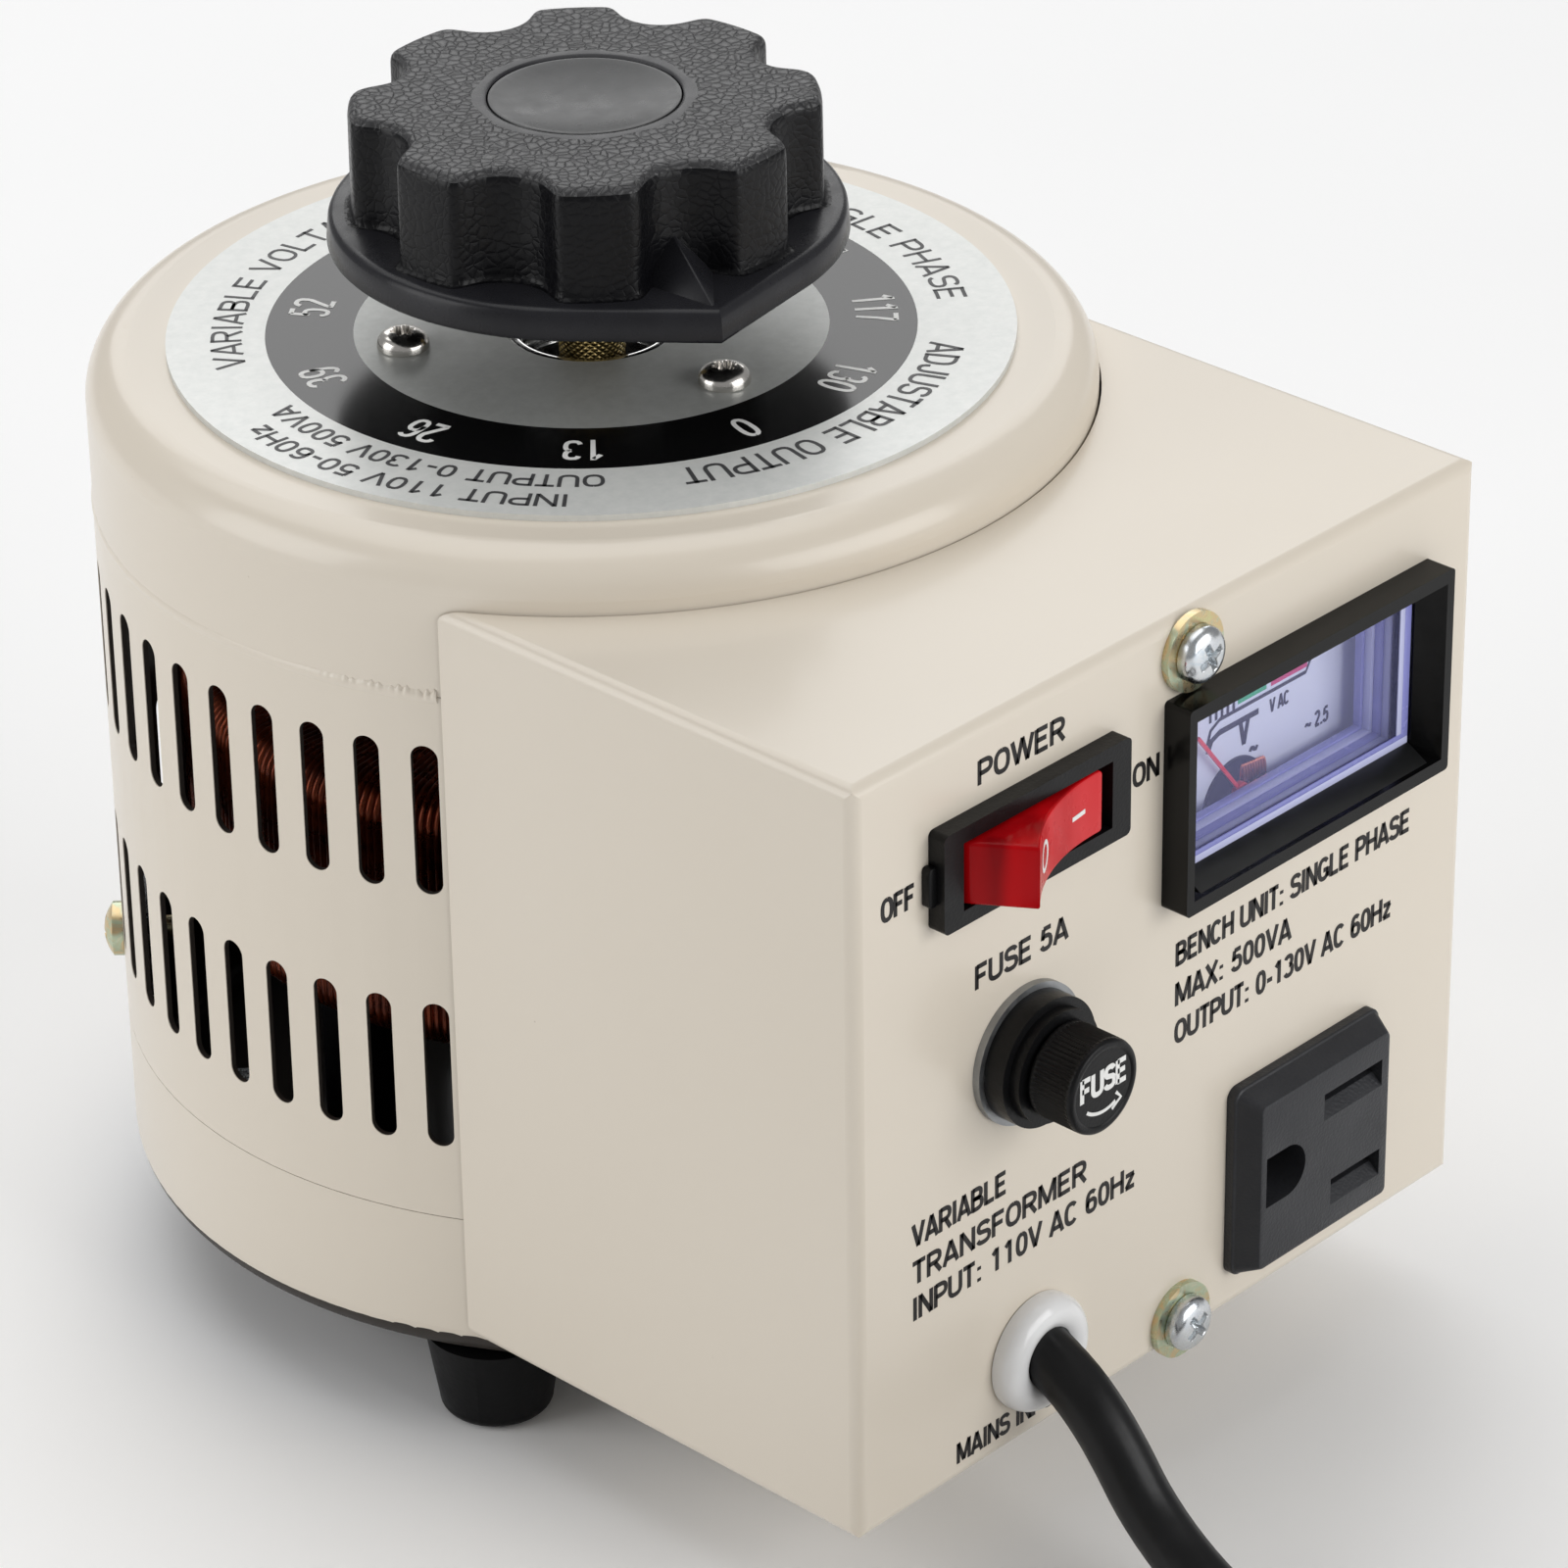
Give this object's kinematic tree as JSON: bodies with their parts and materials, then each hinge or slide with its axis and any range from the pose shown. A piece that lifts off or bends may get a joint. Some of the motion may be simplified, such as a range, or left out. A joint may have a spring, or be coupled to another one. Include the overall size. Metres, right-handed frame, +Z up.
{
  "type": "variable autotransformer",
  "caption": "Bench variable transformer: vented round housing with a dial and turning knob, and a control box with rocker, meter, fuse holder and outlet.",
  "frame": {"origin": "middle of the housing's box in X and Y, on the plane that the feet stand on", "axes": "+Z up along the drum's axis, -Y out of the control panel, +X to the right of the panel"},
  "size_m": [0.1495, 0.3267, 0.1575],
  "materials": {
    "enamel": "satin",
    "black_rubber": "matt",
    "zinc": "bright plated",
    "yellow_zinc": "passivated",
    "dial_aluminium": "satin, printed",
    "nickel": "bright",
    "white_nylon": "satin",
    "cast_hub": "machined",
    "core_steel": "wound strip",
    "insulation": "pressboard",
    "copper": "enamelled wire",
    "bronze": "sintered",
    "brass": "drawn",
    "fibre_board": "laminate",
    "dark_steel": "blackened",
    "black_plastic": "fine grain",
    "knob_plastic": "pebble grain",
    "gloss_black": "glossy",
    "meter_glass": "clear",
    "scale_white": "printed",
    "needle_red": "painted",
    "rocker_red": "translucent",
    "fuse_tube": "clear",
    "arm_aluminium": "cast",
    "carbon": "graphite",
    "wire_pvc": "insulated",
    "cord_pvc": "satin"
  },
  "bodies": {
    "housing": {"base_pan": "enamel", "feet": "black_rubber", "foot_screws": "zinc", "side_brackets": "zinc", "drum_shell": "enamel", "side_screws": "yellow_zinc", "top_cover": "enamel", "dial_plate": "dial_aluminium", "dial_screws": "nickel", "shaft_bush": "white_nylon", "core_hub": "cast_hub", "hub_screws": "zinc", "core": "core_steel", "core_insulators": "insulation", "winding": "copper", "clamp_disc": "insulation", "clamp_nut": "zinc", "shaft_bearings": "bronze", "terminal_board": "fibre_board", "terminal_screws": "brass", "control_box": "enamel", "box_brackets": "zinc", "box_screws": "zinc", "box_washers": "yellow_zinc", "switch_frame": "black_plastic", "switch_terminals": "nickel", "meter_bezel": "gloss_black", "meter_case": "gloss_black", "meter_window": "meter_glass", "meter_scale": "scale_white", "meter_movement": "black_plastic", "outlet_body": "black_plastic", "outlet_contacts": "brass", "fuse_body": "black_plastic", "fuse_washer": "zinc", "fuse_nut": "black_plastic", "fuse_terminals": "nickel", "cord_grommet": "white_nylon", "wiring": "wire_pvc", "cord_lead": "cord_pvc", "cord_coil": "cord_pvc", "cord_tail": "cord_pvc", "coil_tie": "black_plastic", "plug": "cord_pvc", "plug_blades": "brass"},
    "rotor": {"shaft": "brass", "shaft_collar": "zinc", "knob": "knob_plastic", "knob_cap": "gloss_black", "set_screw": "dark_steel", "brush_arm": "arm_aluminium", "brush_holder": "brass", "brush_spring": "nickel", "carbon_brush": "carbon"},
    "switch_rocker": {"rocker": "rocker_red"},
    "needle": {"meter_needle": "needle_red"},
    "fuse_carrier": {"fuse_clip": "brass", "fuse_glass": "fuse_tube", "fuse_ends": "nickel"},
    "fuse_knob": {"fuse_cap": "black_plastic"}
  },
  "joints": [
    {"name": "knob_turn", "type": "hinge", "parent": "housing", "child": "rotor", "pos_m": [0, 0.0226, 0], "axis": [0, 0, -1], "range_deg": [-6, 324]},
    {"name": "rocker_tilt", "type": "hinge", "parent": "housing", "child": "switch_rocker", "pos_m": [-0.0275, -0.0746, 0.1017], "axis": [0, 0, -1], "range_deg": [0, 40]},
    {"name": "needle_swing", "type": "hinge", "parent": "housing", "child": "needle", "pos_m": [0.0204, -0.0664, 0.0843], "axis": [0, 1, 0], "range_deg": [0, 76], "stiffness_Nm_per_rad": 0.0002},
    {"name": "fuse_pull", "type": "slide", "parent": "housing", "child": "fuse_carrier", "axis": [0, -1, 0], "range_m": [0, 0.04]},
    {"name": "fuse_cap_turn", "type": "hinge", "parent": "fuse_carrier", "child": "fuse_knob", "pos_m": [-0.0271, -0.0736, 0.0715], "axis": [0, 1, 0], "range_deg": [0, 60]}
  ]
}
